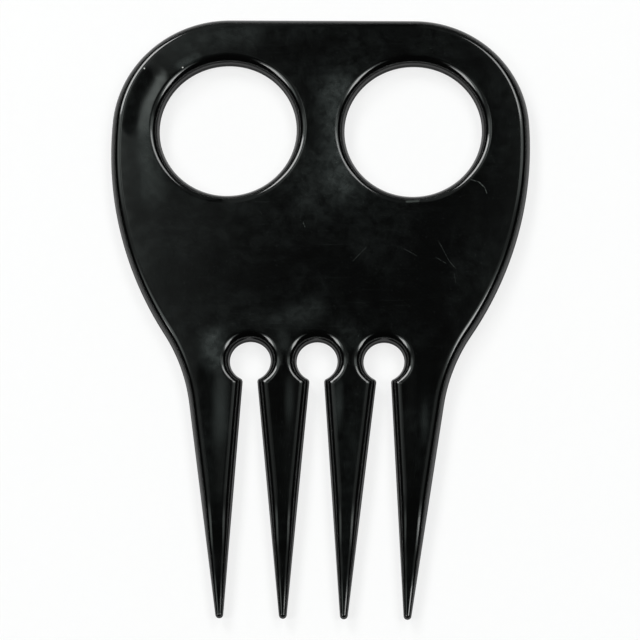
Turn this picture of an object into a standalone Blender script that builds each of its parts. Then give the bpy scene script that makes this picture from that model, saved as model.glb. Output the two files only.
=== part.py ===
"""Braiding comb: a flat hand tool moulded in one piece of glossy black plastic.

The handle is a broad plate with two finger rings. Four long tines hang from it, parted by
three slots that each start in a round keyhole. The comb lies on its back on the plane z = 0,
with its front face towards +Z, its handle towards +Y and its tines towards -Y.

The outline is a chain of straight lines and tangent arcs. Every edge of the comb is rolled
over, front and back, down to a narrow land at half thickness. The tines run thinner towards
their tips, and the rolled rims shrink with them. Bevel keeps one width along an edge, so the
rims are lofted instead: each point of the outline carries its own quarter-round section.
The front of the right half is built this way, and Mirror adds the left half and the back.
"""

import math
from dataclasses import dataclass

import bmesh
import bpy
from mathutils import Vector

MM = 0.001

# Overall sizes
COMB_WIDTH = 76.2 * MM
COMB_LENGTH = 111.5 * MM
COMB_THICKNESS = 4.0 * MM

# Handle outline: a straight top, then a shoulder arc, a side arc and a waist arc.
# Every depth is measured down from the top edge of the comb.
WIDEST_DEPTH = 24.3 * MM
SHOULDER_RADIUS = 21.1 * MM
SIDE_RADIUS = 64.5 * MM
WAIST_RADIUS = 32.0 * MM

# Finger rings
FINGER_HOLE_DIAMETER = 25.0 * MM
FINGER_HOLE_SPACING = 33.7 * MM
FINGER_HOLE_DEPTH = 21.1 * MM

# Keyholes at the roots of the slots
KEYHOLE_DIAMETER = 7.35 * MM
KEYHOLE_SPACING = 12.0 * MM
KEYHOLE_DEPTH = 64.5 * MM
NECK_GAP = 2.6 * MM
NECK_CORNER_RADIUS = 0.6 * MM

# Tines
INNER_TIP_SPACING = 10.8 * MM
OUTER_TIP_SPACING = 33.3 * MM
TIP_RADIUS = 0.7 * MM
TIP_THICKNESS = 1.5 * MM
THINNED_LENGTH = 22.0 * MM
OUTER_EDGE_LEAN = math.radians(8.1)

# Rolled rims, front and back, with a narrow land between them all the way round
RIM_LAND = 0.2 * MM
TIP_RIM_SHARE = 0.92
RIM_STEPS = 4

# How finely arcs are divided, and the turn from which a point counts as a corner
CHORD_ERROR = 0.04 * MM
COARSEST_TURN = math.radians(22.5)
CORNER_TURN = math.radians(30)
MERGE_DISTANCE = 0.01 * MM

PLASTIC_COLOUR = (0.012, 0.013, 0.013, 1.0)
PLASTIC_ROUGHNESS = 0.18

QUARTER_TURN = math.pi / 2
TOP_Y = COMB_LENGTH / 2
TIP_Y = -COMB_LENGTH / 2
HOLE_Y = TOP_Y - FINGER_HOLE_DEPTH
KEYHOLE_Y = TOP_Y - KEYHOLE_DEPTH
THINNING_Y = TIP_Y + THINNED_LENGTH
NECK_ANGLE = math.acos(NECK_GAP / KEYHOLE_DIAMETER)
RIM_RADIUS = (COMB_THICKNESS - RIM_LAND) / 2
TIP_RIM_RADIUS = min(TIP_RIM_SHARE * TIP_RADIUS, (TIP_THICKNESS - RIM_LAND) / 2)


def angle_of(direction):
    return math.atan2(direction.y, direction.x)


def unit(angle):
    return Vector((math.cos(angle), math.sin(angle)))


def arc(centre, radius, start, end):
    """Points along an arc from one angle to another, with both of its ends."""
    finest_turn = 2 * math.acos(1 - CHORD_ERROR / radius)
    steps = math.ceil(abs(end - start) / min(finest_turn, COARSEST_TURN))
    return [
        centre + radius * unit(start + (end - start) * step / steps) for step in range(steps + 1)
    ]


def tip_centre(spacing):
    return Vector((spacing / 2, TIP_Y + TIP_RADIUS))


def handle_edge():
    """The outer edge, from the middle of the top down to where the outer tine begins."""
    side_centre = Vector((COMB_WIDTH / 2 - SIDE_RADIUS, TOP_Y - WIDEST_DEPTH))
    between = SIDE_RADIUS - SHOULDER_RADIUS
    rise = WIDEST_DEPTH - SHOULDER_RADIUS
    shoulder_centre = side_centre + Vector((math.sqrt(between**2 - rise**2), rise))
    shoulder_end = angle_of(shoulder_centre - side_centre)

    # The waist arc touches the side arc from outside, and the outer tine's straight edge.
    outward = unit(-OUTER_EDGE_LEAN)
    upward = unit(QUARTER_TURN - OUTER_EDGE_LEAN)
    to_tip = tip_centre(OUTER_TIP_SPACING) - side_centre
    across = outward.dot(to_tip) + TIP_RADIUS + WAIST_RADIUS
    along = math.sqrt((SIDE_RADIUS + WAIST_RADIUS) ** 2 - across**2)
    waist_centre = side_centre + across * outward - along * upward
    side_end = angle_of(waist_centre - side_centre)
    waist_end = math.pi - OUTER_EDGE_LEAN

    points = [Vector((0, TOP_Y))]
    points += arc(shoulder_centre, SHOULDER_RADIUS, QUARTER_TURN, shoulder_end)
    points += arc(side_centre, SIDE_RADIUS, shoulder_end, side_end)[1:]
    points += arc(waist_centre, WAIST_RADIUS, math.pi + side_end, waist_end)[1:]
    return points


def keyhole(middle_x, end):
    """A keyhole's edge, anticlockwise from the right side of its neck to an angle."""
    centre = Vector((middle_x, KEYHOLE_Y))
    return arc(centre, KEYHOLE_DIAMETER / 2, -NECK_ANGLE, end)


def touching_angle(neck, centre, side):
    """Where the straight edge down from a neck touches a tip: side +1 right, -1 left."""
    to_neck = neck - centre
    return angle_of(to_neck) - side * math.acos(TIP_RADIUS / to_neck.length)


def half_outline():
    """The right half, clockwise from the middle of the top to the middle keyhole's top."""
    outer_tip = tip_centre(OUTER_TIP_SPACING)
    inner_tip = tip_centre(INNER_TIP_SPACING)
    side_keyhole = keyhole(KEYHOLE_SPACING, math.pi + NECK_ANGLE)
    middle_keyhole = keyhole(0, QUARTER_TURN)
    outer_end = touching_angle(side_keyhole[0], outer_tip, -1) - 2 * math.pi
    inner_start = touching_angle(side_keyhole[-1], inner_tip, 1)
    inner_end = touching_angle(middle_keyhole[0], inner_tip, -1) - 2 * math.pi
    return (
        handle_edge()
        + arc(outer_tip, TIP_RADIUS, -OUTER_EDGE_LEAN, outer_end)
        + side_keyhole
        + arc(inner_tip, TIP_RADIUS, inner_start, inner_end)
        + middle_keyhole
    )


def with_level(points, y):
    """The outline with a point added wherever it crosses a level in y."""
    divided = points[:1]
    for start, end in zip(points, points[1:]):
        if (start.y - y) * (end.y - y) < 0:
            divided.append(start.lerp(end, (y - start.y) / (end.y - start.y)))
        divided.append(end)
    return divided


@dataclass
class Rail:
    """The way that a point of the outline moves inwards: round its corner, then on its mitre."""

    centre: Vector
    outward: Vector
    mitre: Vector
    corner_radius: float = 0

    def point(self, inset):
        if inset < self.corner_radius:
            return self.centre + (self.corner_radius - inset) * self.outward
        return self.centre + (inset - self.corner_radius) * self.mitre


def rails_at(before, point, after):
    """The rails of one point: a single one on an even stretch, and a fan of them at a corner.

    The plastic lies to the right of the walk from before to after.
    """
    walked = [(point - before).normalized(), (after - point).normalized()]
    inward = [Vector((way.y, -way.x)) for way in walked]
    mitre = (inward[0] + inward[1]) / (1 + inward[0].dot(inward[1]))
    clockwise_turn = inward[0].angle_signed(inward[1])
    if abs(clockwise_turn) < CORNER_TURN:
        return [Rail(point, -mitre, mitre)]
    centre = point + NECK_CORNER_RADIUS * mitre
    steps = math.ceil(abs(clockwise_turn) / COARSEST_TURN)
    start = angle_of(-inward[0])
    angles = [start - clockwise_turn * step / steps for step in range(steps + 1)]
    return [Rail(centre, unit(angle), mitre, NECK_CORNER_RADIUS) for angle in angles]


def rails_along(before, points, after):
    """The rails of a walk along some points, with the points before and after its ends."""
    places = zip([before] + points[:-1], points, points[1:] + [after])
    return [rail for place in places for rail in rails_at(*place)]


def mirrored(point):
    return Vector((-point.x, point.y))


def outline_rails():
    points = with_level(with_level(half_outline(), HOLE_Y), THINNING_Y)
    return rails_along(mirrored(points[1]), points, mirrored(points[-2]))


def finger_hole_rails():
    """The right finger hole, anticlockwise, as the rails of its upper and its lower half."""
    centre = Vector((FINGER_HOLE_SPACING / 2, HOLE_Y))
    upper = arc(centre, FINGER_HOLE_DIAMETER / 2, 0, math.pi)
    lower = arc(centre, FINGER_HOLE_DIAMETER / 2, math.pi, 2 * math.pi)
    return rails_along(lower[-2], upper, lower[1]), rails_along(upper[-2], lower, upper[1])


def mixed(at_tip, at_handle, share):
    return at_tip + share * (at_handle - at_tip)


def section(rail):
    """The rim's points on one rail: half of its land, then a quarter round up to the face."""
    start = rail.point(0)
    share = min(1, (start.y - TIP_Y) / THINNED_LENGTH)
    face_z = mixed(TIP_THICKNESS, COMB_THICKNESS, share) / 2
    radius = mixed(TIP_RIM_RADIUS, RIM_RADIUS, share)
    points = [start.to_3d()]
    for step in range(RIM_STEPS + 1):
        turn = QUARTER_TURN * step / RIM_STEPS
        point = rail.point(radius * (1 - math.cos(turn))).to_3d()
        point.z = face_z - radius * (1 - math.sin(turn))
        points.append(point)
    return points


def loft_rim(bm, rails):
    """Lofts the front half of a rim, and gives each rail's outline y and its top vertex."""
    columns = [[bm.verts.new(point) for point in section(rail)] for rail in rails]
    for left, right in zip(columns, columns[1:]):
        for low, high in zip(range(RIM_STEPS + 1), range(1, RIM_STEPS + 2)):
            bm.faces.new((left[low], left[high], right[high], right[low]))
    return [(column[0].co.y, column[-1]) for column in columns]


def between_levels(top_edge, lowest, highest):
    return [
        vertex
        for y, vertex in top_edge
        if lowest - MERGE_DISTANCE < y < highest + MERGE_DISTANCE
    ]


def tine_edges(top_edge):
    """The top vertices round each tine's thinned end, one list for each tine."""
    tines = [[]]
    for y, vertex in top_edge:
        if y < THINNING_Y + MERGE_DISTANCE:
            tines[-1].append(vertex)
        elif tines[-1]:
            tines.append([])
    return [tine for tine in tines if tine]


def build_front_right():
    """The front of the right half, open along the middle and at half thickness."""
    bm = bmesh.new()
    outer = loft_rim(bm, outline_rails())
    upper_hole, lower_hole = [loft_rim(bm, rails) for rails in finger_hole_rails()]
    middle = bm.verts.new((0, HOLE_Y, COMB_THICKNESS / 2))
    handle = between_levels(outer, HOLE_Y, TOP_Y)
    body = between_levels(outer, THINNING_Y, HOLE_Y)
    handle += [vertex for _, vertex in upper_hole] + [middle]
    body += [middle] + [vertex for _, vertex in lower_hole]
    for clockwise in [handle, body] + tine_edges(outer):
        bm.faces.new(reversed(clockwise))
    bmesh.ops.remove_doubles(bm, verts=bm.verts, dist=MERGE_DISTANCE)
    mesh = bpy.data.meshes.new("comb_body")
    bm.to_mesh(mesh)
    bm.free()
    mesh.shade_smooth()
    return mesh


def plastic_material():
    material = bpy.data.materials.new("glossy_black_plastic")
    material.use_nodes = True
    shader = material.node_tree.nodes["Principled BSDF"]
    shader.inputs["Base Color"].default_value = PLASTIC_COLOUR
    shader.inputs["Roughness"].default_value = PLASTIC_ROUGHNESS
    shader.inputs["Metallic"].default_value = 0
    return material


def build_comb(collection):
    comb = bpy.data.objects.new("comb_body", build_front_right())
    collection.objects.link(comb)
    comb.location.z = COMB_THICKNESS / 2
    comb.data.materials.append(plastic_material())
    halves = comb.modifiers.new("left_half_and_back", "MIRROR")
    halves.use_axis = (True, False, True)
    halves.merge_threshold = MERGE_DISTANCE
    comb.modifiers.new("flat_face_shading", "WEIGHTED_NORMAL")


def main():
    for obj in list(bpy.data.objects):
        bpy.data.objects.remove(obj)
    collection = bpy.data.collections.new("braiding_comb")
    bpy.context.scene.collection.children.link(collection)
    build_comb(collection)


main()
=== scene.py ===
# %% [markdown]
# Braiding comb
#
# The comb is one flat injection moulding: a broad handle with two finger rings, and four long
# tines parted by three slots that start in round keyholes. The engineering model of it is loaded
# first and stays as it is. It has the right size and shape, but its arcs are coarse facets and
# its plastic is one flat colour. This lesson moulds the comb again, finely, on the same sizes,
# and gives it the black, handled, slightly hazy gloss of the real one.

# %% Load the fixed model
import math
from functools import partial

import bmesh
import bpy
from mathutils import Matrix, Vector
from mathutils.geometry import delaunay_2d_cdt


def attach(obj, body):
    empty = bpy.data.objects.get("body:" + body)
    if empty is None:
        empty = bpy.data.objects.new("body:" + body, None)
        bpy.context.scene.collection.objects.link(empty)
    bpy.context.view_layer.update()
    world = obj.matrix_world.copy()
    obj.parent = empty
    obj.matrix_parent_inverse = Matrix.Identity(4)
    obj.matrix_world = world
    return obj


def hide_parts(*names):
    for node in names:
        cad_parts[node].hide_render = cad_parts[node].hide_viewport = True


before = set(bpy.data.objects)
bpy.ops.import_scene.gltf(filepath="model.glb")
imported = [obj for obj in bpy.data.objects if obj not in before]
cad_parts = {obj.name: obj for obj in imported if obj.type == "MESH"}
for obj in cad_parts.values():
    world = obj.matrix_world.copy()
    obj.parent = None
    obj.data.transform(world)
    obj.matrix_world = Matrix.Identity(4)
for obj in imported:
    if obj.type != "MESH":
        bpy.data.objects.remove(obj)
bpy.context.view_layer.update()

MM = 0.001
PIECE = "comb_moulding"


# %% [markdown]
# The sizes of the comb
#
# These are the comb's own driving sizes, in metres, the same as the engineering model's. The
# origin is in the middle of the comb, on the back face that it lies on. The handle is towards
# +Y, the tines are towards -Y and the front face looks to +Z.

# %% Driving sizes
COMB_WIDTH = 76.2 * MM
COMB_LENGTH = 111.5 * MM
COMB_THICKNESS = 4.0 * MM
WIDEST_DEPTH = 24.3 * MM
SHOULDER_RADIUS = 21.1 * MM
SIDE_RADIUS = 64.5 * MM
WAIST_RADIUS = 32.0 * MM
FINGER_HOLE_RADIUS = 12.5 * MM
FINGER_HOLE_SPACING = 33.7 * MM
FINGER_HOLE_DEPTH = 21.1 * MM
KEYHOLE_RADIUS = 3.675 * MM
KEYHOLE_SPACING = 12.0 * MM
KEYHOLE_DEPTH = 64.5 * MM
NECK_GAP = 2.6 * MM
NECK_CORNER_RADIUS = 0.6 * MM
INNER_TIP_SPACING = 10.8 * MM
OUTER_TIP_SPACING = 33.3 * MM
TIP_RADIUS = 0.7 * MM
TIP_THICKNESS = 1.5 * MM
THINNED_LENGTH = 22.0 * MM
OUTER_EDGE_LEAN = math.radians(8.1)
RIM_LAND = 0.2 * MM
TIP_RIM_SHARE = 0.92

TOP_Y = COMB_LENGTH / 2
TIP_Y = -COMB_LENGTH / 2
HOLE_CENTRE = Vector((FINGER_HOLE_SPACING / 2, TOP_Y - FINGER_HOLE_DEPTH))
KEYHOLE_Y = TOP_Y - KEYHOLE_DEPTH
THINNING_Y = TIP_Y + THINNED_LENGTH
RIM_RADIUS = (COMB_THICKNESS - RIM_LAND) / 2
TIP_RIM_RADIUS = TIP_RIM_SHARE * TIP_RADIUS
print(f"rim radius {RIM_RADIUS / MM:.2f} mm, at the tips {TIP_RIM_RADIUS / MM:.2f} mm")

# %% [markdown]
# The outline, and how it moves inwards
#
# Every edge of the real comb is rolled over in a quarter round, front and back, where the mould
# was cut with a round cutter. A Bevel modifier keeps one width and folds over itself at sharp
# corners, so the rims are lofted here. Each place on the outline is a small function that tells
# where the place goes when the outline is moved inwards by some inset. On a smooth stretch it
# goes straight in. Where a keyhole meets its slot there is a sharp corner. The moved edges
# meet there, and a place that has reached the meeting point slides along with it.

# %% Arcs and straight edges
QUARTER = math.pi / 2
CHORD_ERROR = 0.004 * MM
SHORTEST_STEP = 0.12 * MM


def angle_of(way):
    return math.atan2(way.y, way.x)


def unit(angle):
    return Vector((math.cos(angle), math.sin(angle)))


def spread(start, end, steps):
    return [start + (end - start) * step / steps for step in range(steps + 1)]


def arc_angles(radius, start, end):
    turn = max(2 * math.acos(1 - CHORD_ERROR / radius), SHORTEST_STEP / radius)
    return spread(start, end, math.ceil(abs(end - start) / turn))


def straight_in(start, inward, inset):
    return start + inset * inward


def arc_places(centre, radius, start, end, plastic_outside=False):
    """Places along an arc. The plastic is inside the circle, or outside it."""
    side = 1 if plastic_outside else -1
    return [
        partial(straight_in, centre + radius * unit(angle), side * unit(angle))
        for angle in arc_angles(radius, start, end)
    ]


def edge_places(start, end, inward, levels=()):
    """Places along a straight edge, at its ends and where it passes some levels in y."""
    shares = {0, 1} | {(y - start.y) / (end.y - start.y) for y in levels}
    return [
        partial(straight_in, start.lerp(end, share), inward)
        for share in sorted(shares) if 0 <= share <= 1
    ]


for name, radius in (("side", SIDE_RADIUS), ("finger hole", FINGER_HOLE_RADIUS)):
    steps = len(arc_angles(radius, 0, 2 * math.pi)) - 1
    print(f"{name}: a full circle of {radius / MM:.1f} mm radius would have {steps} steps")


# %% The handle's edge, from the middle of the top to the waist
def tip_centre(spacing):
    return Vector((spacing / 2, TIP_Y + TIP_RADIUS))


def handle_places():
    side_centre = Vector((COMB_WIDTH / 2 - SIDE_RADIUS, TOP_Y - WIDEST_DEPTH))
    apart = SIDE_RADIUS - SHOULDER_RADIUS
    rise = WIDEST_DEPTH - SHOULDER_RADIUS
    shoulder_centre = side_centre + Vector((math.sqrt(apart**2 - rise**2), rise))
    shoulder_end = angle_of(shoulder_centre - side_centre)
    outward = unit(-OUTER_EDGE_LEAN)
    upward = unit(QUARTER - OUTER_EDGE_LEAN)
    to_tip = tip_centre(OUTER_TIP_SPACING) - side_centre
    across = outward.dot(to_tip) + TIP_RADIUS + WAIST_RADIUS
    along = math.sqrt((SIDE_RADIUS + WAIST_RADIUS) ** 2 - across**2)
    waist_centre = side_centre + across * outward - along * upward
    side_end = angle_of(waist_centre - side_centre)
    waist_end = math.pi - OUTER_EDGE_LEAN
    shoulder_start = Vector((shoulder_centre.x, TOP_Y))
    top = edge_places(Vector((0, TOP_Y)), shoulder_start, Vector((0, -1)))
    return (
        top[:-1]
        + arc_places(shoulder_centre, SHOULDER_RADIUS, QUARTER, shoulder_end)
        + arc_places(side_centre, SIDE_RADIUS, shoulder_end, side_end)[1:]
        + arc_places(waist_centre, WAIST_RADIUS, math.pi + side_end, waist_end, True)[1:]
    )


print("places along the handle's edge:", len(handle_places()))

# %% [markdown]
# The corner where a keyhole meets its slot
#
# The neck of each keyhole is a pair of corners, rounded to 0.6 mm. Moved inwards by less than
# that, the rounding only gets tighter. Moved further, the circle and the slot's edge meet in a
# point, and that point is worked out from the circle and the line themselves. It is the soft
# crease that runs into the plastic from each corner on the real comb.

# %% Places round one neck corner
NECK_DROP = math.acos(NECK_GAP / 2 / KEYHOLE_RADIUS)


class NeckCorner:
    """The corner between a keyhole and the edge of a slot. Side is +1 for the right corner."""

    def __init__(self, keyhole_centre, tip, side):
        self.centre = keyhole_centre
        self.side = side
        self.neck = keyhole_centre + KEYHOLE_RADIUS * self.across(NECK_DROP)
        to_neck = self.neck - tip
        self.tip_angle = angle_of(to_neck) + side * math.acos(TIP_RADIUS / to_neck.length)
        self.inward = -unit(self.tip_angle)
        self.along = (tip + TIP_RADIUS * unit(self.tip_angle) - self.neck).normalized()

    def across(self, drop):
        """The way out from the keyhole's centre, turned down from its own side by an angle."""
        return Vector((self.side * math.cos(drop), -math.sin(drop)))

    def run(self, inset):
        """How far along the slot's edge the corner has moved."""
        start = self.neck - self.centre + inset * self.inward
        reach = start.dot(self.along)
        circle = (KEYHOLE_RADIUS + inset) ** 2
        return math.sqrt(reach**2 - start.length_squared + circle) - reach

    def meeting(self, inset):
        return self.neck + inset * self.inward + self.run(inset) * self.along

    def drop(self, inset):
        """The angle below the keyhole's centre at which the corner is."""
        way = self.meeting(inset) - self.centre
        return math.atan2(-way.y, self.side * way.x)

    def round_point(self, angle, inset):
        if inset < NECK_CORNER_RADIUS:
            start = self.meeting(NECK_CORNER_RADIUS)
            return start + (NECK_CORNER_RADIUS - inset) * unit(angle)
        return self.meeting(inset)

    def keyhole_point(self, drop, inset):
        if inset > NECK_CORNER_RADIUS and drop > self.drop(inset):
            return self.meeting(inset)
        return self.centre + (KEYHOLE_RADIUS + inset) * self.across(drop)

    def round_places(self):
        """Places round the corner, from the slot's edge to the keyhole."""
        start = angle_of(-self.inward)
        end = angle_of(self.centre - self.meeting(NECK_CORNER_RADIUS))
        turn = math.remainder(end - start, 2 * math.pi)
        angles = arc_angles(NECK_CORNER_RADIUS, start, start + turn)
        return [partial(self.round_point, angle) for angle in angles]

    def keyhole_places(self):
        """Places from the corner round its half of the keyhole to the top."""
        drops = arc_angles(KEYHOLE_RADIUS, self.drop(NECK_CORNER_RADIUS), -QUARTER)
        return [partial(self.keyhole_point, drop) for drop in drops[1:]]

    def edge_places(self, tip, levels):
        """Places down the straight edge of the slot, ending where it touches the tip."""
        clear = self.neck + self.run(RIM_RADIUS) * self.along
        end = tip + TIP_RADIUS * unit(self.tip_angle)
        return edge_places(clear, end, self.inward, levels)


print(f"the necks sit {math.degrees(NECK_DROP):.1f} degrees below the sides of the keyholes")

# %% The whole right half of the outline
THINNING_BLEND = 4.0 * MM
TINE_ROWS = 28
TINE_LEVELS = spread(THINNING_Y + THINNING_BLEND, TIP_Y + TIP_RADIUS, TINE_ROWS)


def half_outline():
    """Clockwise from the middle of the top to the top of the middle keyhole."""
    outer_tip = tip_centre(OUTER_TIP_SPACING)
    inner_tip = tip_centre(INNER_TIP_SPACING)
    side_keyhole = Vector((KEYHOLE_SPACING, KEYHOLE_Y))
    outer_corner = NeckCorner(side_keyhole, outer_tip, 1)
    inner_corner = NeckCorner(side_keyhole, inner_tip, -1)
    middle_corner = NeckCorner(Vector((0, KEYHOLE_Y)), inner_tip, 1)
    outward = unit(-OUTER_EDGE_LEAN)
    handle = handle_places()
    tip_start = outer_tip + TIP_RADIUS * outward
    places = handle + edge_places(handle[-1](0), tip_start, -outward, TINE_LEVELS)[1:]
    outer_end = outer_corner.tip_angle - 2 * math.pi
    places += arc_places(outer_tip, TIP_RADIUS, -OUTER_EDGE_LEAN, outer_end)[1:-1]
    places += outer_corner.edge_places(outer_tip, TINE_LEVELS)[::-1]
    places += outer_corner.round_places() + outer_corner.keyhole_places()
    places += inner_corner.keyhole_places()[-2::-1] + inner_corner.round_places()[::-1]
    places += inner_corner.edge_places(inner_tip, TINE_LEVELS)
    inner_start = inner_corner.tip_angle
    inner_end = middle_corner.tip_angle - 2 * math.pi
    places += arc_places(inner_tip, TIP_RADIUS, inner_start, inner_end)[1:-1]
    places += middle_corner.edge_places(inner_tip, TINE_LEVELS)[::-1]
    return places + middle_corner.round_places() + middle_corner.keyhole_places()


outline = half_outline()
finger_hole = arc_places(HOLE_CENTRE, FINGER_HOLE_RADIUS, 0, 2 * math.pi, True)[:-1]
print("places on half the outline:", len(outline), "and round a finger hole:", len(finger_hole))

# %% [markdown]
# Thickness, and the rolled rims
#
# The handle is 4 mm thick. The last 22 mm of each tine run down to 1.5 mm, and the radius of the
# rolled rim shrinks with it. On the real comb the thinning starts softly and isn't even. The face
# falls more steeply just below the start, runs nearly level for a few millimetres, and falls again
# to the tip. That gives two short glints on each edge of each tine. The engineering model has
# one even slope there, which is less than 0.2 mm away. A rim's section is a sliver of flat land
# at half thickness, which is where the two halves of the mould meet, and then a quarter round up
# to the face. The rim takes the even slope's radius or the stepped one's, whichever is smaller,
# so that it is never wider than the tine has room for.

# %% Height of the face and radius of the rim
RIM_STEPS = 14
FIRST_FALL = (-33.5 * MM, -45.0 * MM)
SECOND_FALL = (-46.0 * MM, -60.0 * MM)
FIRST_SHARE = 0.52


def even_share(y):
    """1 on the handle, falling evenly to 0 at the tips, with a soft start."""
    past = (THINNING_Y - y) / THINNING_BLEND
    if past <= -1:
        drop = 0
    elif past < 1:
        drop = THINNING_BLEND * (past + 1) ** 2 / 4
    else:
        drop = THINNING_BLEND * past
    return max(0, 1 - drop / THINNED_LENGTH)


def fallen(y, start, end):
    """0 above the start of a fall, rising softly to 1 at its end."""
    way = min(1, max(0, (y - start) / (end - start)))
    return way * way * (3 - 2 * way)


def stepped_share(y):
    """1 on the handle, falling to 0 at the tips in two soft steps. The tips end the second."""
    second = fallen(y, *SECOND_FALL) / fallen(TIP_Y, *SECOND_FALL)
    return 1 - FIRST_SHARE * fallen(y, *FIRST_FALL) - (1 - FIRST_SHARE) * second


def face_height(y):
    return (TIP_THICKNESS + stepped_share(y) * (COMB_THICKNESS - TIP_THICKNESS)) / 2


def rim_radius(y):
    share = min(even_share(y), stepped_share(y))
    return TIP_RIM_RADIUS + share * (RIM_RADIUS - TIP_RIM_RADIUS)


def rim_section(place):
    """Points from half thickness, over the land, up the quarter round to the face."""
    start = place(0)
    radius = rim_radius(start.y)
    points = [start.to_3d()]
    for turn in spread(0, QUARTER, RIM_STEPS):
        point = place(radius * (1 - math.cos(turn))).to_3d()
        point.z = face_height(point.y) - radius * (1 - math.sin(turn))
        points.append(point)
    return points


for y in spread(THINNING_Y, TIP_Y, 4):
    print(f"thickness at y = {y / MM:.1f} mm: {2 * face_height(y) / MM:.2f} mm")

# %% Loft the rims of the front of the right half
MERGE_DISTANCE = 0.0005 * MM
bm = bmesh.new()


def loft_rim(places):
    """Faces between the sections of neighbouring places. Gives the vertices next to the face."""
    columns = [[bm.verts.new(point) for point in rim_section(place)] for place in places]
    for left, right in zip(columns, columns[1:]):
        for low in range(RIM_STEPS + 1):
            bm.faces.new((left[low], left[low + 1], right[low + 1], right[low]))
    return [column[-1] for column in columns]


face_edge = loft_rim(outline)
hole_edge = loft_rim(finger_hole + finger_hole[:1])[:-1]
print("rim quads:", len(bm.faces))

# %% [markdown]
# The face between the rims
#
# The face is one plane on the handle, and it slopes gently on the tines. Its border is known: the
# innermost line of the rims. A triangulation fills it, with a grid of points inside, so that the
# long slopes of the tines follow the blend and no triangle is a sliver right across the comb.

# %% Points on the face
GRID = 3.0 * MM
CLEARANCE = GRID / 2
border = [vertex.co.to_2d() for vertex in face_edge]
hole_border = [vertex.co.to_2d() for vertex in hole_edge]


def inside(point, polygon):
    """A point is inside if a line from it towards +X crosses the polygon an odd number of times."""
    crossings = 0
    for a, b in zip(polygon, polygon[1:] + polygon[:1]):
        if (a.y > point.y) != (b.y > point.y):
            crossings += point.x < a.x + (b.x - a.x) * (point.y - a.y) / (b.y - a.y)
    return crossings % 2 == 1


def grid_points():
    columns = range(1, int(COMB_WIDTH / 2 / GRID) + 1)
    rows = range(int(TIP_Y / GRID), int(TOP_Y / GRID) + 1)
    for point in (Vector((column * GRID, row * GRID)) for column in columns for row in rows):
        if not inside(point, border) or inside(point, hole_border):
            continue
        if min((point - corner).length for corner in border + hole_border) > CLEARANCE:
            yield point


points = border + hole_border + list(grid_points())
print("points for the face:", len(points))

# %% Triangles between the points
INSIDE_THE_BORDER = 1
TOLERANCE = 1e-9
known = face_edge + hole_edge
rings = [range(len(border)), range(len(border), len(known))]
lines = [(ring[i - 1], ring[i]) for ring in rings for i in range(len(ring))]
flat_points, _, triangles, origins, _, _ = delaunay_2d_cdt(
    points, lines, [], INSIDE_THE_BORDER, TOLERANCE
)
vertices = []
for point, origin in zip(flat_points, origins):
    if origin and origin[0] < len(known):
        vertices.append(known[origin[0]])
    else:
        vertices.append(bm.verts.new((point.x, point.y, face_height(point.y))))
for triangle in triangles:
    middle = sum((flat_points[i] for i in triangle), Vector((0, 0))) / 3
    corners = [vertices[i] for i in triangle]
    if len(set(corners)) == 3 and not inside(middle, hole_border):
        bm.faces.new(corners)
bmesh.ops.remove_doubles(bm, verts=bm.verts, dist=MERGE_DISTANCE)
print("faces on a quarter of the comb:", len(bm.faces))

# %% Mirror it into the whole comb
mesh = bpy.data.meshes.new(PIECE)
bm.to_mesh(mesh)
bm.free()
mesh.shade_smooth()
comb = bpy.data.objects.new(PIECE, mesh)
bpy.context.scene.collection.objects.link(comb)
comb.location.z = COMB_THICKNESS / 2
halves = comb.modifiers.new("left_half_and_back", "MIRROR")
halves.use_axis = (True, False, True)
halves.merge_threshold = MERGE_DISTANCE
comb.modifiers.new("flat_face_shading", "WEIGHTED_NORMAL")
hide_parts("comb_body")
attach(comb, "root")
print("modifiers on the comb:", [modifier.name for modifier in comb.modifiers])


# %% [markdown]
# The plastic
#
# The comb is moulded polystyrene, black right through, from a polished mould. Its colour is far
# too dark to see by itself. What the eye sees is the gloss: sharp lines of light along the rims,
# and on the face a thin haze where fingers and hair have dulled the polish in smudges.

# %% Helpers for colours and nodes
def linear(hex_colour):
    """An sRGB hex colour, turned to the linear values that Blender's shaders use."""
    parts = [int(hex_colour[i : i + 2], 16) / 255 for i in (1, 3, 5)]
    parts = [v / 12.92 if v <= 0.04045 else ((v + 0.055) / 1.055) ** 2.4 for v in parts]
    return (*parts, 1)


def add(tree, kind, inputs=None, **settings):
    """Adds a node, sets its settings, and gives each input a value or a link."""
    node = tree.nodes.new(kind)
    for name, value in settings.items():
        setattr(node, name, value)
    for name, value in (inputs or {}).items():
        if isinstance(value, bpy.types.NodeSocket):
            tree.links.new(value, node.inputs[name])
        else:
            node.inputs[name].default_value = value
    return node


print("half grey as written is this much light:", round(linear("#808080")[0], 3))

# %% [markdown]
# Where the plastic is flat, and where it is rolled
#
# Smudges belong on the flat faces, and the satin sides belong where the two halves of the mould
# meet. The surface's own normal tells both: the upright part of it is 1 on a face and 0 on a
# side. All patterns are laid out in millimetres, so the place on the comb is turned to them once.

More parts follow.
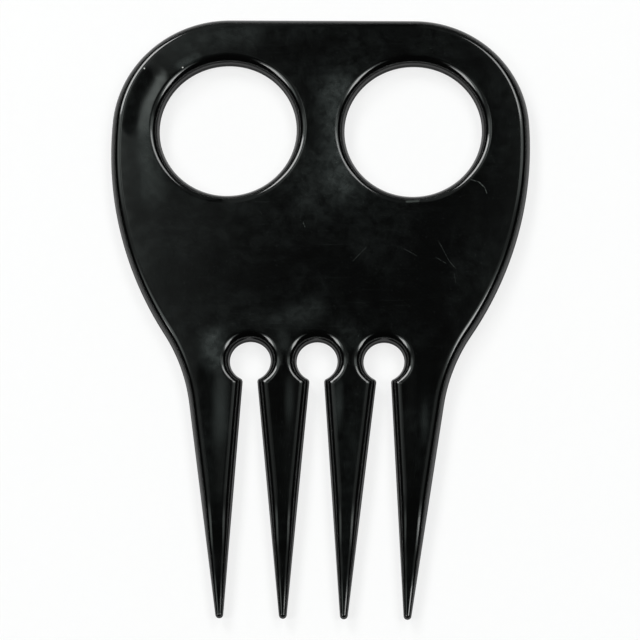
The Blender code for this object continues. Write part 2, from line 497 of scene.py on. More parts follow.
# %% Masks from the surface's own normal
ROLLED_AT, FLAT_AT = 0.955, 0.996
SIDE_AT, CLEAR_OF_SIDE_AT = 0.15, 0.55
plastic = bpy.data.materials.new("moulded_black_polystyrene")
plastic.use_nodes = True
tree = plastic.node_tree
shader = tree.nodes["Principled BSDF"]
surface = add(tree, "ShaderNodeTexCoord")
in_mm = add(
    tree, "ShaderNodeVectorMath",
    {0: surface.outputs["Object"], 1: (1 / MM,) * 3}, operation="MULTIPLY",
).outputs["Vector"]
facing = add(tree, "ShaderNodeSeparateXYZ", {"Vector": surface.outputs["Normal"]}).outputs["Z"]
upright = add(tree, "ShaderNodeMath", {0: facing}, operation="ABSOLUTE").outputs[0]
on_the_face = add(
    tree, "ShaderNodeMapRange",
    {"Value": upright, "From Min": ROLLED_AT, "From Max": FLAT_AT},
    interpolation_type="SMOOTHSTEP",
).outputs["Result"]
on_the_side = add(
    tree, "ShaderNodeMapRange",
    {"Value": upright, "From Min": SIDE_AT, "From Max": CLEAR_OF_SIDE_AT,
     "To Min": 1.0, "To Max": 0.0},
    interpolation_type="SMOOTHSTEP",
).outputs["Result"]
for name, share in (("flat", FLAT_AT), ("rolled", ROLLED_AT), ("side", SIDE_AT)):
    print(f"{name} where the surface leans {math.degrees(math.acos(share)):.0f} degrees")

# %% [markdown]
# Smudges
#
# Fingers and hair touch the flat faces and leave a thin, patchy film. The rims stay clean, since
# hair wipes them. Broad patches are as wide as a fingertip, 15 mm. Inside them the film breaks up
# into flecks of about 2 mm. The film is grey and slightly rough, so it lifts the black a little
# and spreads the light of the softboxes. The noise runs through the thickness of the comb too,
# stretched so that the back doesn't repeat the front.

# %% Film of smudges
PATCH_SIZE = 15.0
FLECK_SIZE = 1.9
PATCHES_FROM, PATCHES_TO = 0.38, 0.64
FLECKS_FROM, FLECKS_TO = 0.36, 0.66
THINNEST_FILM = 0.15
FRONT_FROM_BACK = 9
front_and_back = add(
    tree, "ShaderNodeVectorMath", {0: in_mm, 1: (1, 1, FRONT_FROM_BACK)}, operation="MULTIPLY"
).outputs["Vector"]
patches = add(
    tree, "ShaderNodeTexNoise",
    {"Vector": front_and_back, "Scale": 1 / PATCH_SIZE, "Detail": 3.0, "Roughness": 0.55,
     "Distortion": 0.6},
).outputs["Fac"]
flecks = add(
    tree, "ShaderNodeTexNoise",
    {"Vector": front_and_back, "Scale": 1 / FLECK_SIZE, "Detail": 5.0, "Roughness": 0.62,
     "Distortion": 0.2},
).outputs["Fac"]
patch_share = add(
    tree, "ShaderNodeMapRange",
    {"Value": patches, "From Min": PATCHES_FROM, "From Max": PATCHES_TO,
     "To Min": THINNEST_FILM},
    interpolation_type="SMOOTHSTEP",
).outputs["Result"]
fleck_share = add(
    tree, "ShaderNodeMapRange",
    {"Value": flecks, "From Min": FLECKS_FROM, "From Max": FLECKS_TO,
     "To Min": THINNEST_FILM},
).outputs["Result"]
smudges = add(
    tree, "ShaderNodeMath", {0: patch_share, 1: fleck_share}, operation="MULTIPLY"
).outputs[0]
print(f"smudges: patches of {PATCH_SIZE} mm that break up into flecks of {FLECK_SIZE} mm")

# %% [markdown]
# Marks in places of their own
#
# A few marks sit in places of their own. Pale patches between the finger holes and over the
# keyholes are smudged film and partly painted reflection. Smooth pale streaks down the tines and
# beside the left finger hole are painted highlights. There is a painted glint under the right
# finger hole, some hairline scratches and three specks of dust. Each is told by its distance from
# a line drawn on the front face. One node group measures the distance to a straight line between
# two points, and fades from 1 on the line to 0 at a given distance. A scratch is a thin line, a
# smear is a wide one and a speck is a line with no length. Scratches and dust are finer on the
# real comb, and are drawn 0.2 to 0.4 mm wide, so that they show.

# %% A node group for marks
SHORTEST_SQUARE = 1e-6
mark = bpy.data.node_groups.new("mark_along_a_line", "ShaderNodeTree")
for name, kind in (
    ("Place", "NodeSocketVector"), ("Start", "NodeSocketVector"), ("End", "NodeSocketVector"),
    ("Core", "NodeSocketFloat"), ("Reach", "NodeSocketFloat"),
):
    mark.interface.new_socket(name, in_out="INPUT", socket_type=kind)
mark.interface.new_socket("Share", in_out="OUTPUT", socket_type="NodeSocketFloat")
given = add(mark, "NodeGroupInput").outputs
line = add(
    mark, "ShaderNodeVectorMath", {0: given["End"], 1: given["Start"]}, operation="SUBTRACT"
).outputs["Vector"]
off = add(
    mark, "ShaderNodeVectorMath", {0: given["Place"], 1: given["Start"]}, operation="SUBTRACT"
).outputs["Vector"]
square = add(
    mark, "ShaderNodeVectorMath", {0: line, 1: line}, operation="DOT_PRODUCT"
).outputs["Value"]
square = add(
    mark, "ShaderNodeMath", {0: square, 1: SHORTEST_SQUARE}, operation="MAXIMUM"
).outputs[0]
along = add(
    mark, "ShaderNodeVectorMath", {0: off, 1: line}, operation="DOT_PRODUCT"
).outputs["Value"]
along = add(
    mark, "ShaderNodeMath", {0: along, 1: square}, operation="DIVIDE", use_clamp=True
).outputs[0]
nearest = add(
    mark, "ShaderNodeVectorMath", {0: line, "Scale": along}, operation="SCALE"
).outputs["Vector"]
distance = add(
    mark, "ShaderNodeVectorMath", {0: off, 1: nearest}, operation="DISTANCE"
).outputs["Value"]
share = add(
    mark, "ShaderNodeMapRange",
    {"Value": distance, "From Min": given["Core"], "From Max": given["Reach"],
     "To Min": 1.0, "To Max": 0.0},
    interpolation_type="SMOOTHSTEP",
).outputs["Result"]
add(mark, "NodeGroupOutput", {"Share": share})
print("nodes in one mark:", len(mark.nodes))

# %% Smears and painted reflections on the front
FRONT = COMB_THICKNESS / 2 / MM
MARK_FADE = 1.6
MARK_GAPS = 0.3


def marks(kind_of_marks, place=in_mm):
    """The strongest of several marks on the front. Each is start, end, core, reach, strength."""
    strongest = None
    for start, end, core, reach, strength in kind_of_marks:
        one = add(
            tree, "ShaderNodeGroup",
            {"Place": place, "Start": (*start, FRONT), "End": (*end, FRONT),
             "Core": core, "Reach": reach},
            node_tree=mark,
        ).outputs["Share"]
        one = add(tree, "ShaderNodeMath", {0: one, 1: strength}, operation="MULTIPLY").outputs[0]
        if strongest:
            pair = {0: strongest, 1: one}
            one = add(tree, "ShaderNodeMath", pair, operation="MAXIMUM").outputs[0]
        strongest = one
    return strongest


# The patches between the finger holes and over the keyholes are smudged film, lightened as painted
# reflection. The two marks beside the left finger hole are a painted highlight.
smears_and_painted_reflections = marks([
    ((3.5, 41), (4.0, 25), 0.0, 8.0, 0.85),
    ((-1, 29), (-1.5, 20), 0.0, 6.0, 0.35),
    ((-18.6, -5.5), (-18.2, -8.5), 0.0, 4.6, 1.0),
    ((-6.5, -2), (-1, 0.2), 0.0, 4.6, 0.55),
    ((5.2, -3.5), (6.5, -5), 0.0, 3.4, 0.35),
    ((-31.6, 36.0), (-32.4, 31.0), 0.0, 3.0, 0.45),
    ((-31.9, 33), (-30.4, 22), 0.0, 4.6, 0.55),
    ((-25.6, 46.6), (-22.8, 48.2), 0.0, 2.2, 0.7),
    ((-6.2, -4.2), (-5.8, -6.5), 0.0, 2.4, 0.55),
    ((-26, 50), (-14, 52.3), 0.0, 6.0, 0.40),
    ((18, 46), (26, 44), 0.0, 5.5, 0.25),
])
smears_and_painted_reflections = add(tree, "ShaderNodeMath", {0: smears_and_painted_reflections, 1: MARK_FADE}, operation="POWER").outputs[0]
broken = add(
    tree, "ShaderNodeMapRange", {"Value": fleck_share, "To Min": MARK_GAPS, "To Max": 1.0}
).outputs["Result"]
smears_and_painted_reflections = add(tree, "ShaderNodeMath", {0: smears_and_painted_reflections, 1: broken}, operation="MULTIPLY").outputs[0]
print("nodes in the plastic with its smears:", len(tree.nodes))

# %% [markdown]
# Streaks of painted highlight
#
# The streaks at the roots of the tines and beside the left finger hole are painted highlights,
# pale bands of reflected light drawn into the film. They are smooth and long, and fade at both
# ends. They are round marks in a space that is squashed along the comb: a mark that is round there
# is five times longer than wide on the comb.

# %% Painted highlight streaks along the comb
SQUASH = 0.2
squashed = add(
    tree, "ShaderNodeVectorMath", {0: in_mm, 1: (1, SQUASH, 1)}, operation="MULTIPLY"
).outputs["Vector"]
painted_highlight_streaks = marks([
    ((x, y * SQUASH), (x, y * SQUASH), 0.0, reach, strength)
    for x, y, reach, strength in (
        (-17.1, -18.0, 2.1, 0.45),
        (4.0, -17.0, 1.3, 0.42),
        (-4.8, -16.5, 1.2, 0.30),
        (19.4, -20.0, 1.1, 0.28),
        (-31.8, 32.0, 2.1, 0.26),
    )
], squashed)
print(f"streaks are {1 / SQUASH:.0f} times longer than wide")

# %% Scratches, and how they crumble
SCRATCH_CORE = 0.02
SCRATCH_REACH = 0.12
CRUMB_SIZE = 0.5
CRUMBS_FROM, CRUMBS_TO = 0.38, 0.6
FAINTEST_CRUMB, STRONGEST_CRUMB = 0.3, 1.3
scratches_and_painted_glint = marks([
    (start, end, SCRATCH_CORE, SCRATCH_REACH, strength)
    for start, end, strength in (
        ((27.4, 25.0), (28.9, 24.5), 0.25),
        ((28.9, 24.5), (29.9, 23.5), 0.5),
        ((29.9, 23.5), (30.3, 22.4), 0.3),
        ((6.3, 9.6), (8.6, 12.1), 0.1),
        ((21.6, 13.4), (23.6, 9.6), 0.1),
        ((23.6, 9.6), (24.8, 8.2), 0.12),
        ((21.2, 10.3), (23.0, 9.2), 0.1),
        ((24.5, 7.2), (24.8, 5.6), 0.08),
        ((15.4, 11.9), (17.7, 10.6), 0.08),
        ((-12.2, 31.9), (-11.6, 29.8), 0.1),
        ((-2.8, 16.6), (-2.5, 15.9), 0.25),
    )
])
crumbs = add(
    tree, "ShaderNodeTexNoise",
    {"Vector": front_and_back, "Scale": 1 / CRUMB_SIZE, "Detail": 2.0},
).outputs["Fac"]
crumb_share = add(
    tree, "ShaderNodeMapRange",
    {"Value": crumbs, "From Min": CRUMBS_FROM, "From Max": CRUMBS_TO,
     "To Min": FAINTEST_CRUMB, "To Max": STRONGEST_CRUMB},
).outputs["Result"]
scratches_and_painted_glint = add(
    tree, "ShaderNodeMath", {0: scratches_and_painted_glint, 1: crumb_share}, operation="MULTIPLY"
).outputs[0]
print(f"scratches are {2 * SCRATCH_REACH:.2f} mm wide, soft edges included")

# %% A painted glint, and dust
DUST_CORE = 0.06
DUST_REACH = 0.19
# A short painted glint on the bottom rim of the right finger hole, drawn like a scratch.
painted_glint = marks([((15.9, 20.8), (17.9, 20.95), 0.0, 0.40, 0.32)])
scratches_and_painted_glint = add(
    tree, "ShaderNodeMath", {0: scratches_and_painted_glint, 1: painted_glint}, operation="ADD", use_clamp=True
).outputs[0]
dust = marks([
    ((x, y), (x, y), DUST_CORE, DUST_REACH, 1.0)
    for x, y in ((-32.3, 45.9), (-25.3, 46.1), (-24.6, 45.6))
])
print(f"specks of dust are {2 * DUST_REACH:.2f} mm wide, soft edges included")

# %% [markdown]
# Hairline scratches everywhere
#
# A comb that has been used carries hairlines in all directions. Real ones are a few hundredths of
# a millimetre wide, which is too fine to show here, so they are drawn coarser, at 0.16 mm. Noise
# that is stretched about seventy times longer than wide gives a set of broken, nearly parallel
# lines, and three such sets cross each other.

# %% Sets of hairlines
HAIRLINE_WIDTH = 0.16
HAIRLINE_LENGTH = 11.0
HAIRLINES_FROM, HAIRLINES_TO = 0.74, 0.80
hairlines = None
for turn, shift in ((24, 3.0), (-37, 17.0), (81, 41.0)):
    turned = add(
        tree, "ShaderNodeMapping",
        {"Vector": front_and_back, "Location": (shift, shift, 0),
         "Rotation": (0, 0, math.radians(turn)),
         "Scale": (1 / HAIRLINE_LENGTH, 1 / HAIRLINE_WIDTH, 1 / HAIRLINE_LENGTH)},
    ).outputs["Vector"]
    one_set = add(
        tree, "ShaderNodeTexNoise", {"Vector": turned, "Scale": 1.0, "Detail": 1.0}
    ).outputs["Fac"]
    one_set = add(
        tree, "ShaderNodeMapRange",
        {"Value": one_set, "From Min": HAIRLINES_FROM, "From Max": HAIRLINES_TO},
    ).outputs["Result"]
    if hairlines:
        one_set = add(
            tree, "ShaderNodeMath", {0: hairlines, 1: one_set}, operation="MAXIMUM"
        ).outputs[0]
    hairlines = one_set
print(f"hairlines are stretched {HAIRLINE_LENGTH / HAIRLINE_WIDTH:.0f} times")

# %% [markdown]
# Fine specks
#
# Lint and dried drops leave specks of a tenth of a millimetre and less, one in every few
# millimetres. They are drawn coarser, a quarter of a millimetre across, so that they show. They
# are the points of a cell pattern, cut off close to each point, and only the cells with a high
# random colour keep theirs.

# %% Specks
SPECK_SPACING = 1.5
SPECK_REACH = 0.13
SPECKLESS_SHARE = 0.7
SPECK_STRENGTH = 0.55
cells = add(
    tree, "ShaderNodeTexVoronoi",
    {"Vector": front_and_back, "Scale": 1 / SPECK_SPACING, "Randomness": 1.0},
    voronoi_dimensions="2D",
)
speck = add(
    tree, "ShaderNodeMapRange",
    {"Value": cells.outputs["Distance"], "From Min": 0.0,
     "From Max": SPECK_REACH / SPECK_SPACING, "To Min": 1.0, "To Max": 0.0},
).outputs["Result"]
chosen = add(
    tree, "ShaderNodeSeparateColor", {"Color": cells.outputs["Color"]}
).outputs["Red"]
chosen = add(
    tree, "ShaderNodeMapRange",
    {"Value": chosen, "From Min": SPECKLESS_SHARE, "From Max": 1.0, "To Max": SPECK_STRENGTH},
).outputs["Result"]
specks = add(tree, "ShaderNodeMath", {0: speck, 1: chosen}, operation="MULTIPLY").outputs[0]
print(f"cells that keep a speck: {1 - SPECKLESS_SHARE:.0%}")

# %% Put the film, the painted highlights, the scratches and the dust together
SMUDGE_SHARE = 0.165
HAIRLINE_SHARE = 0.12
film_and_painted_sheen = add(tree, "ShaderNodeMath", {0: smudges, 1: SMUDGE_SHARE}, operation="MULTIPLY").outputs[0]
film_and_painted_sheen = add(tree, "ShaderNodeMath", {0: film_and_painted_sheen, 1: smears_and_painted_reflections}, operation="ADD").outputs[0]
# The streaks add painted highlight to the film.
film_and_painted_sheen = add(tree, "ShaderNodeMath", {0: film_and_painted_sheen, 1: painted_highlight_streaks}, operation="ADD").outputs[0]
film_and_painted_sheen = add(
    tree, "ShaderNodeMath", {0: hairlines, 1: HAIRLINE_SHARE, 2: film_and_painted_sheen}, operation="MULTIPLY_ADD"
).outputs[0]
film_and_painted_sheen = add(tree, "ShaderNodeMath", {0: film_and_painted_sheen, 1: specks}, operation="ADD").outputs[0]
film_and_painted_sheen = add(tree, "ShaderNodeMath", {0: film_and_painted_sheen, 1: on_the_face}, operation="MULTIPLY").outputs[0]
film_and_painted_sheen = add(
    tree, "ShaderNodeMath", {0: film_and_painted_sheen, 1: scratches_and_painted_glint}, operation="MAXIMUM", use_clamp=True
).outputs[0]
print("nodes in the plastic so far:", len(tree.nodes))

# %% [markdown]
# Colour and gloss
#
# Polystyrene that is black right through, from a polished mould, is a mirror on a black ground.
# Its IOR is 1.59 when new. The worn one here matches the photo at 1.54, with a roughness below a
# tenth where it is clean. Under the film the roughness rises to 0.3 and the black turns into a
# very dark green-grey. On the streaks that grey is painted highlight, and on the pale patches it
# is partly painted reflection. The steep sides, where the halves of the mould meet and the flash
# has been tumbled off, are satin.

# %% Colour and roughness
CLEAN_BLACK = linear("#040404")
FILM_AND_SHEEN_GREY = linear("#2b302f")
# The scratches' grey also paints the glint under the right finger hole.
SCRATCH_AND_GLINT_GREY = linear("#6a706c")
DUST_WHITE = linear("#d8d8d4")
CLEAN_ROUGHNESS = 0.085
FILM_ROUGHNESS = 0.30
SIDE_ROUGHNESS = 0.9
WORN_POLYSTYRENE_IOR = 1.54
# The film's grey is smudge, painted highlight on the streaks and partly painted reflection on the
# pale patches.
colour = add(
    tree, "ShaderNodeMix", {"Factor": film_and_painted_sheen, "A": CLEAN_BLACK, "B": FILM_AND_SHEEN_GREY}, data_type="RGBA"
).outputs["Result"]
colour = add(
    tree, "ShaderNodeMix", {"Factor": scratches_and_painted_glint, "A": colour, "B": SCRATCH_AND_GLINT_GREY}, data_type="RGBA"
).outputs["Result"]
colour = add(
    tree, "ShaderNodeMix", {"Factor": dust, "A": colour, "B": DUST_WHITE}, data_type="RGBA"
).outputs["Result"]
roughness = add(
    tree, "ShaderNodeMapRange",
    {"Value": film_and_painted_sheen, "To Min": CLEAN_ROUGHNESS, "To Max": FILM_ROUGHNESS},
).outputs["Result"]
roughness = add(
    tree, "ShaderNodeMapRange",
    {"Value": on_the_side, "To Min": roughness, "To Max": SIDE_ROUGHNESS},
).outputs["Result"]
tree.links.new(colour, shader.inputs["Base Color"])
tree.links.new(roughness, shader.inputs["Roughness"])
shader.inputs["IOR"].default_value = WORN_POLYSTYRENE_IOR
shader.inputs["Metallic"].default_value = 0.0
print(f"roughness: {CLEAN_ROUGHNESS} clean, {FILM_ROUGHNESS} filmed, {SIDE_ROUGHNESS} on the sides")

# %% [markdown]
# The skin of the moulding
#
# Even a polished moulding isn't dead flat. It shrinks a little as it cools, mostly across the
# flow of the plastic, which runs from the handle to the tips. So the faces wave by about a
# hundredth of a millimetre in long furrows along the comb, and the skin has a finer ripple. The
# eye sees both as reflections that wander and change in width. The tines are hollow along their
# middles by a few hundredths, and one sink mark to the left of the left finger hole is deeper.
# Heights are in millimetres here, and the bump's distance of 1 mm turns them into real depth.

# %% Waves and ripple
WAVE_LENGTH, WAVE_HEIGHT = 8.0, 0.013
RIPPLE_LENGTH, RIPPLE_HEIGHT = 1.3, 0.0006
WAVE_STRETCH = 0.3
along_the_flow = add(
    tree, "ShaderNodeVectorMath", {0: in_mm, 1: (1, WAVE_STRETCH, 1)}, operation="MULTIPLY"
).outputs["Vector"]
wave = add(
    tree, "ShaderNodeTexNoise", {"Vector": along_the_flow, "Scale": 1 / WAVE_LENGTH, "Detail": 1.0}
).outputs["Fac"]
ripple = add(
    tree, "ShaderNodeTexNoise", {"Vector": in_mm, "Scale": 1 / RIPPLE_LENGTH, "Detail": 2.0}
).outputs["Fac"]
skin = add(tree, "ShaderNodeMath", {0: wave, 1: WAVE_HEIGHT}, operation="MULTIPLY").outputs[0]
skin = add(
    tree, "ShaderNodeMath", {0: ripple, 1: RIPPLE_HEIGHT, 2: skin}, operation="MULTIPLY_ADD"
).outputs[0]
print(f"waves are {WAVE_LENGTH} mm across and {WAVE_LENGTH / WAVE_STRETCH:.0f} mm along the comb")

# %% The sink mark and the hollow tines
SINK_DEPTH, SINK_REACH = 0.068, 3.0
FURROW_DEPTH, FURROW_REACH = 0.032, 3.3
FURROW_END = -55
OUTER_FURROW, INNER_FURROW = (18.4, -11), (6.0, -13)
sink = marks([
    ((-30.6, 43.9), (-32.7, 39.2), 0.0, SINK_REACH, 1.0),
    ((-32.7, 39.2), (-33.3, 35.2), 0.0, SINK_REACH, 1.0),
])
furrows = marks([
    ((side * x, y), (side * spacing / 2 / MM, FURROW_END), 0.0, FURROW_REACH, 1.0)
    for (x, y), spacing in ((OUTER_FURROW, OUTER_TIP_SPACING), (INNER_FURROW, INNER_TIP_SPACING))
    for side in (-1, 1)
])
skin = add(
    tree, "ShaderNodeMath", {0: sink, 1: -SINK_DEPTH, 2: skin}, operation="MULTIPLY_ADD"
).outputs[0]
skin = add(
    tree, "ShaderNodeMath", {0: furrows, 1: -FURROW_DEPTH, 2: skin}, operation="MULTIPLY_ADD"
).outputs[0]
bump = add(tree, "ShaderNodeBump", {"Height": skin, "Strength": 1.0, "Distance": 1.0 * MM})
tree.links.new(bump.outputs["Normal"], shader.inputs["Normal"])
comb.data.materials.append(plastic)
print("nodes in the plastic:", len(tree.nodes))

# %% [markdown]
# Floor and backdrop
#
# The comb lies on matt white paper. The paper is one big sheet that lies flat round the comb and
# then sweeps up, as in a photo studio, so that a low view sees paper too and no dark horizon. It
# is turned like a bowl from one profile, which is the quickest way to close it all round.

# %% Paper sweep
PAPER_FLAT = 1.1
PAPER_BEND = 0.5
PAPER_WALL = 0.55
PAPER_DROP = 0.02 * MM
PAPER_SIDES = 96
BEND_STEPS = 12


def paper_profile():
    bend = [
        (PAPER_FLAT + PAPER_BEND * math.sin(turn), PAPER_BEND * (1 - math.cos(turn)))
        for turn in spread(0, QUARTER, BEND_STEPS)
    ]
    return bend + [(PAPER_FLAT + PAPER_BEND, PAPER_WALL)]


bm = bmesh.new()
centre = bm.verts.new((0, 0, -PAPER_DROP))
rings = [
    [bm.verts.new((*(radius * unit(2 * math.pi * side / PAPER_SIDES)), height - PAPER_DROP))
     for side in range(PAPER_SIDES)]
    for radius, height in paper_profile()
]
for side in range(PAPER_SIDES):
    bm.faces.new((centre, rings[0][side - 1], rings[0][side]))
    for low, high in zip(rings, rings[1:]):
        bm.faces.new((low[side - 1], high[side - 1], high[side], low[side]))
bmesh.ops.recalc_face_normals(bm, faces=bm.faces)
paper_mesh = bpy.data.meshes.new("paper_sweep")
bm.to_mesh(paper_mesh)
bm.free()
paper_mesh.shade_smooth()
floor = bpy.data.objects.new("paper_sweep", paper_mesh)
bpy.context.scene.collection.objects.link(floor)
print("faces of the paper:", len(paper_mesh.polygons))

# %% Paper, with a faint grain
PAPER_GRAIN = 2 * MM
PAPER_ROUGHNESS = 0.9
PAPER_GLOSS = 0.2
paper = bpy.data.materials.new("matt_white_paper")
paper.use_nodes = True
tree = paper.node_tree
shader = tree.nodes["Principled BSDF"]
paper_place = add(tree, "ShaderNodeTexCoord").outputs["Object"]
grain = add(
    tree, "ShaderNodeTexNoise", {"Vector": paper_place, "Scale": 1 / PAPER_GRAIN}
).outputs["Fac"]
shade = add(
    tree, "ShaderNodeMix",
    {"Factor": grain, "A": linear("#f8f8f8"), "B": linear("#fdfdfd")}, data_type="RGBA",
).outputs["Result"]
tree.links.new(shade, shader.inputs["Base Color"])
shader.inputs["Roughness"].default_value = PAPER_ROUGHNESS
shader.inputs["Specular IOR Level"].default_value = PAPER_GLOSS
paper_mesh.materials.append(paper)
print(f"the paper's grain is {PAPER_GRAIN / MM:.0f} mm")

# %% [markdown]
# A white background with a soft shadow
#
# In the photo the background is pure white. More light would burn out the comb's highlights, so
# the paper itself is made to show white instead. To the camera, and to anything that mirrors or
# lets through light, the paper round the comb is three quarters plain white. The last quarter is
# the lit paper, and that keeps a soft shadow. Further out the plain white fades into lit paper,
# because the sides of the real comb mirror a dim room there. To all other light it is just paper.

# %% White to the camera
WHITE_SHARE = 0.75
WHITE_FROM, WHITE_TO = 0.15, 0.60
ray = add(tree, "ShaderNodeLightPath").outputs
seen = add(
    tree, "ShaderNodeMath", {0: ray["Is Camera Ray"], 1: ray["Is Glossy Ray"]}, operation="ADD"
).outputs[0]
seen = add(
    tree, "ShaderNodeMath", {0: seen, 1: ray["Is Transmission Ray"]},
    operation="ADD", use_clamp=True,
).outputs[0]
away = add(tree, "ShaderNodeVectorMath", {0: paper_place}, operation="LENGTH").outputs["Value"]
white_share = add(
    tree, "ShaderNodeMapRange",
    {"Value": away, "From Min": WHITE_FROM, "From Max": WHITE_TO,
     "To Min": WHITE_SHARE, "To Max": 0.0},
    interpolation_type="SMOOTHSTEP",
).outputs["Result"]
seen = add(tree, "ShaderNodeMath", {0: seen, 1: white_share}, operation="MULTIPLY").outputs[0]
white = add(
    tree, "ShaderNodeEmission", {"Color": linear("#ffffff"), "Strength": 1.0}
).outputs["Emission"]
mixed = add(
    tree, "ShaderNodeMixShader", {0: seen, 1: shader.outputs["BSDF"], 2: white}
).outputs["Shader"]
tree.links.new(mixed, tree.nodes["Material Output"].inputs["Surface"])
print(f"plain white out to {WHITE_FROM} m, and none beyond {WHITE_TO} m")

# %% [markdown]
# Light
#
# Gloss shows the studio more than the plastic. The lines on the rims are four softboxes, two on
# each side, and the left ones are brighter. Between the far pair and the near pair there is
# only a dim white board, so the straight edges of the tines stay dark while the round edges catch
# four arcs each. Above the far side there is a dim ceiling, and the side of the camera is dark.
# Each softbox is placed by how far it stands off the vertical, towards +X and towards +Y.

# %% Softboxes
AIM = Vector((0, 0, 2 * MM))
SOFTBOX_DISTANCE = 1.2


def softbox(name, tilt_x, tilt_y, wide, tall, radiance):
    """A rectangular lamp aimed at the comb. Gives its share of the light on the paper.

    Tilts and sizes are in degrees, as seen from the comb.
    """
    tilt_x, tilt_y, wide, tall = (math.radians(angle) for angle in (tilt_x, tilt_y, wide, tall))
    tilt = math.hypot(tilt_x, tilt_y)
    around = math.atan2(tilt_y, tilt_x)
    lean = math.sin(tilt)
    away = Vector((lean * math.cos(around), lean * math.sin(around), math.cos(tilt)))
    right = Vector((0, 1, 0)).cross(away).normalized()
    up = away.cross(right)
    lamp = bpy.data.lights.new(name, "AREA")
    lamp.shape = "RECTANGLE"
    lamp.size = 2 * SOFTBOX_DISTANCE * math.tan(wide / 2)
    lamp.size_y = 2 * SOFTBOX_DISTANCE * math.tan(tall / 2)
    area = lamp.size * lamp.size_y
    lamp.energy = radiance * math.pi * area
    obj = bpy.data.objects.new(name, lamp)
    turn = Matrix((right, up, away)).transposed().to_4x4()
    obj.matrix_world = Matrix.Translation(AIM + SOFTBOX_DISTANCE * away) @ turn
    bpy.context.scene.collection.objects.link(obj)
    light = radiance * area / SOFTBOX_DISTANCE**2 * away.z / math.pi
    print(f"{name}: {lamp.size:.2f} x {lamp.size_y:.2f} m, lights the paper by {light:.2f}")
    return light


together = (
    softbox("far_left_softbox", -29.8, 37.9, 15, 26, 9.4)
    + softbox("far_right_softbox", 20.5, 32.5, 14, 21, 5.4)
    + softbox("near_left_softbox", -34, -14.2, 22, 14, 7.4)
    + softbox("near_right_softbox", 30.5, -7.4, 21, 13, 6.8)
)
print(f"softboxes together: {together:.2f}, where 1 shows a colour as it is written")

# %% [markdown]
# The dim parts of the room
#
# The world holds what is dimmer than the softboxes. Directions are told by their slopes, x over z
# and y over z, so 0 is straight up, and each part of the room is a range of slopes with soft
# ends. The ceiling over the far side has a dark gap right where the flat face mirrors it, which is
# why the middle of the face is nearly black and its left part is not.

# %% Slopes, and soft ranges of them
LOWEST_RISE = 0.05
world = bpy.data.worlds.new("studio_room")
world.use_nodes = True
bpy.context.scene.world = world
tree = world.node_tree
sky = add(tree, "ShaderNodeTexCoord").outputs["Generated"]
way = add(tree, "ShaderNodeSeparateXYZ", {"Vector": sky}).outputs
rise = add(tree, "ShaderNodeMath", {0: way["Z"], 1: LOWEST_RISE}, operation="MAXIMUM").outputs[0]
side = add(tree, "ShaderNodeMath", {0: way["X"], 1: rise}, operation="DIVIDE").outputs[0]
far = add(tree, "ShaderNodeMath", {0: way["Y"], 1: rise}, operation="DIVIDE").outputs[0]


def between(value, low, high, soft):
    """1 where the value is between low and high, with soft ends."""
    rising = {"Value": value, "From Min": low, "From Max": low + soft}
    falling = {"Value": value, "From Min": high, "From Max": high - soft}
    ends = [add(tree, "ShaderNodeMapRange", end).outputs["Result"] for end in (rising, falling)]
    return add(tree, "ShaderNodeMath", {0: ends[0], 1: ends[1]}, operation="MULTIPLY").outputs[0]


print(f"slopes are told down to {math.degrees(math.atan(LOWEST_RISE)):.0f} degrees over the floor")

# %% Where the ceiling is, and its dark gap
CEILING_STARTS, CEILING_WHOLE = 0.05, 0.35
GAP_LEFT_OF_MIDDLE = 0.027
GAP_HALF_WIDTH, GAP_ENDS = 0.031, 0.044
CEILING_FADES, CEILING_ENDS = 0.6, 1.1
far_part = add(
    tree, "ShaderNodeMapRange",
    {"Value": far, "From Min": CEILING_STARTS, "From Max": CEILING_WHOLE},
    interpolation_type="SMOOTHSTEP",
).outputs["Result"]
off_middle = add(
    tree, "ShaderNodeMath", {0: side, 1: GAP_LEFT_OF_MIDDLE}, operation="ADD"
).outputs[0]
off_middle = add(tree, "ShaderNodeMath", {0: off_middle}, operation="ABSOLUTE").outputs[0]
beside = add(
    tree, "ShaderNodeMapRange",
    {"Value": off_middle, "From Min": GAP_HALF_WIDTH, "From Max": GAP_ENDS},
    interpolation_type="SMOOTHSTEP",
).outputs["Result"]
within = add(
    tree, "ShaderNodeMapRange",
    {"Value": off_middle, "From Min": CEILING_FADES, "From Max": CEILING_ENDS,
     "To Min": 1.0, "To Max": 0.0},
    interpolation_type="SMOOTHSTEP",
).outputs["Result"]
ceiling_share = add(
    tree, "ShaderNodeMath", {0: far_part, 1: beside}, operation="MULTIPLY"
).outputs[0]
ceiling_share = add(
    tree, "ShaderNodeMath", {0: ceiling_share, 1: within}, operation="MULTIPLY"
).outputs[0]
print(f"the dark gap is {2 * math.degrees(math.atan(GAP_HALF_WIDTH)):.1f} degrees wide")

# %% [markdown]
# How bright the ceiling is
#
# The ceiling is dimmer to the right. To the left it has one brighter strip, and that shows only
# in the flank of the sink mark, as part of the pale streak beside the left finger hole. The rest
# of that streak is a painted highlight in the plastic.

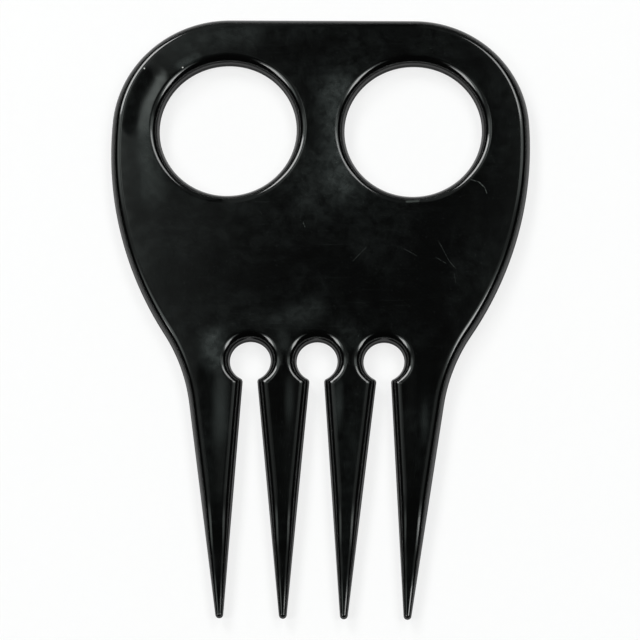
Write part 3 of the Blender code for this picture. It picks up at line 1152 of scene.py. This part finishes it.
# %% Brightness of the ceiling
DARK_SIDE = 0.012
CEILING = 0.275
RIGHT_CEILING = 0.13
DIMMING_FROM, DIMMING_TO = -0.04, 0.0
BRIGHT_STRIP = 2.3
STRIP_ACROSS = (-0.22, -0.095, 0.04)
STRIP_ALONG = (0.27, 0.42, 0.04)
ceiling = add(
    tree, "ShaderNodeMapRange",
    {"Value": side, "From Min": DIMMING_FROM, "From Max": DIMMING_TO,
     "To Min": CEILING, "To Max": RIGHT_CEILING},
).outputs["Result"]
strip = add(
    tree, "ShaderNodeMath",
    {0: between(side, *STRIP_ACROSS), 1: between(far, *STRIP_ALONG)},
    operation="MULTIPLY",
).outputs[0]
ceiling = add(
    tree, "ShaderNodeMath", {0: strip, 1: BRIGHT_STRIP, 2: ceiling}, operation="MULTIPLY_ADD"
).outputs[0]
strength = add(
    tree, "ShaderNodeMapRange", {"Value": ceiling_share, "To Min": DARK_SIDE, "To Max": ceiling}
).outputs["Result"]
print(f"ceiling: {CEILING} to the left, {RIGHT_CEILING} to the right, {DARK_SIDE} in the gap")

# %% [markdown]
# The boards
#
# A dim white board on each side fills the space between its two softboxes, and is brighter
# towards them, where their light spills over it.

# %% Boards between the softboxes
BOARD = 0.28
BOARDS_ACROSS = (0.22, 0.95, 0.1)
BOARDS_ALONG = (-0.35, 0.75, 0.15)
BOARD_AT_FAR_SOFTBOX = 1.2
BOARD_AT_NEAR_SOFTBOX = 1.6
FAR_SPILL_FROM, FAR_SPILL_TO = 0.23, 0.31
NEAR_SPILL_FROM, NEAR_SPILL_TO = 0.12, 0.0
ROOM_WHITE = linear("#f0fbf6")
board = add(
    tree, "ShaderNodeMath",
    {0: between(off_middle, *BOARDS_ACROSS), 1: between(far, *BOARDS_ALONG)},
    operation="MULTIPLY",
).outputs[0]
glow = add(
    tree, "ShaderNodeMapRange",
    {"Value": far, "From Min": FAR_SPILL_FROM, "From Max": FAR_SPILL_TO,
     "To Min": BOARD, "To Max": BOARD + BOARD_AT_FAR_SOFTBOX},
).outputs["Result"]
near_glow = add(
    tree, "ShaderNodeMapRange",
    {"Value": far, "From Min": NEAR_SPILL_FROM, "From Max": NEAR_SPILL_TO,
     "To Min": 0.0, "To Max": BOARD_AT_NEAR_SOFTBOX},
).outputs["Result"]
glow = add(tree, "ShaderNodeMath", {0: glow, 1: near_glow}, operation="ADD").outputs[0]
board = add(tree, "ShaderNodeMath", {0: board, 1: glow}, operation="MULTIPLY").outputs[0]
strength = add(tree, "ShaderNodeMath", {0: strength, 1: board}, operation="MAXIMUM").outputs[0]
tree.links.new(strength, tree.nodes["Background"].inputs["Strength"])
tree.nodes["Background"].inputs["Color"].default_value = ROOM_WHITE
print("nodes in the room:", len(tree.nodes))

# %% [markdown]
# Camera
#
# The camera stands where the photo's did, which was worked out from the comb's silhouette and the
# two finger holes: 0.8 m away, with a long lens, and about 15 degrees off square, towards the
# tines.

# %% Camera
CAMERA_TARGET = Vector((0.406, -0.974, 1.988)) * MM
CAMERA_DISTANCE = 800 * MM
CAMERA_TILT = Vector((math.radians(15.281), math.radians(1.740), math.radians(0.826)))
SENSOR_WIDTH = 36
FOCAL_SHARE = 6.9448
lens = bpy.data.cameras.new("camera")
lens.sensor_width = SENSOR_WIDTH
lens.lens = FOCAL_SHARE * lens.sensor_width
camera = bpy.data.objects.new("camera", lens)
camera.rotation_euler = CAMERA_TILT
back = camera.rotation_euler.to_matrix() @ Vector((0, 0, 1))
camera.location = CAMERA_TARGET + CAMERA_DISTANCE * back
bpy.context.scene.collection.objects.link(camera)
bpy.context.scene.camera = camera
bpy.context.scene.view_settings.view_transform = "Standard"
print(f"focal length {lens.lens:.0f} mm at {CAMERA_DISTANCE} m")
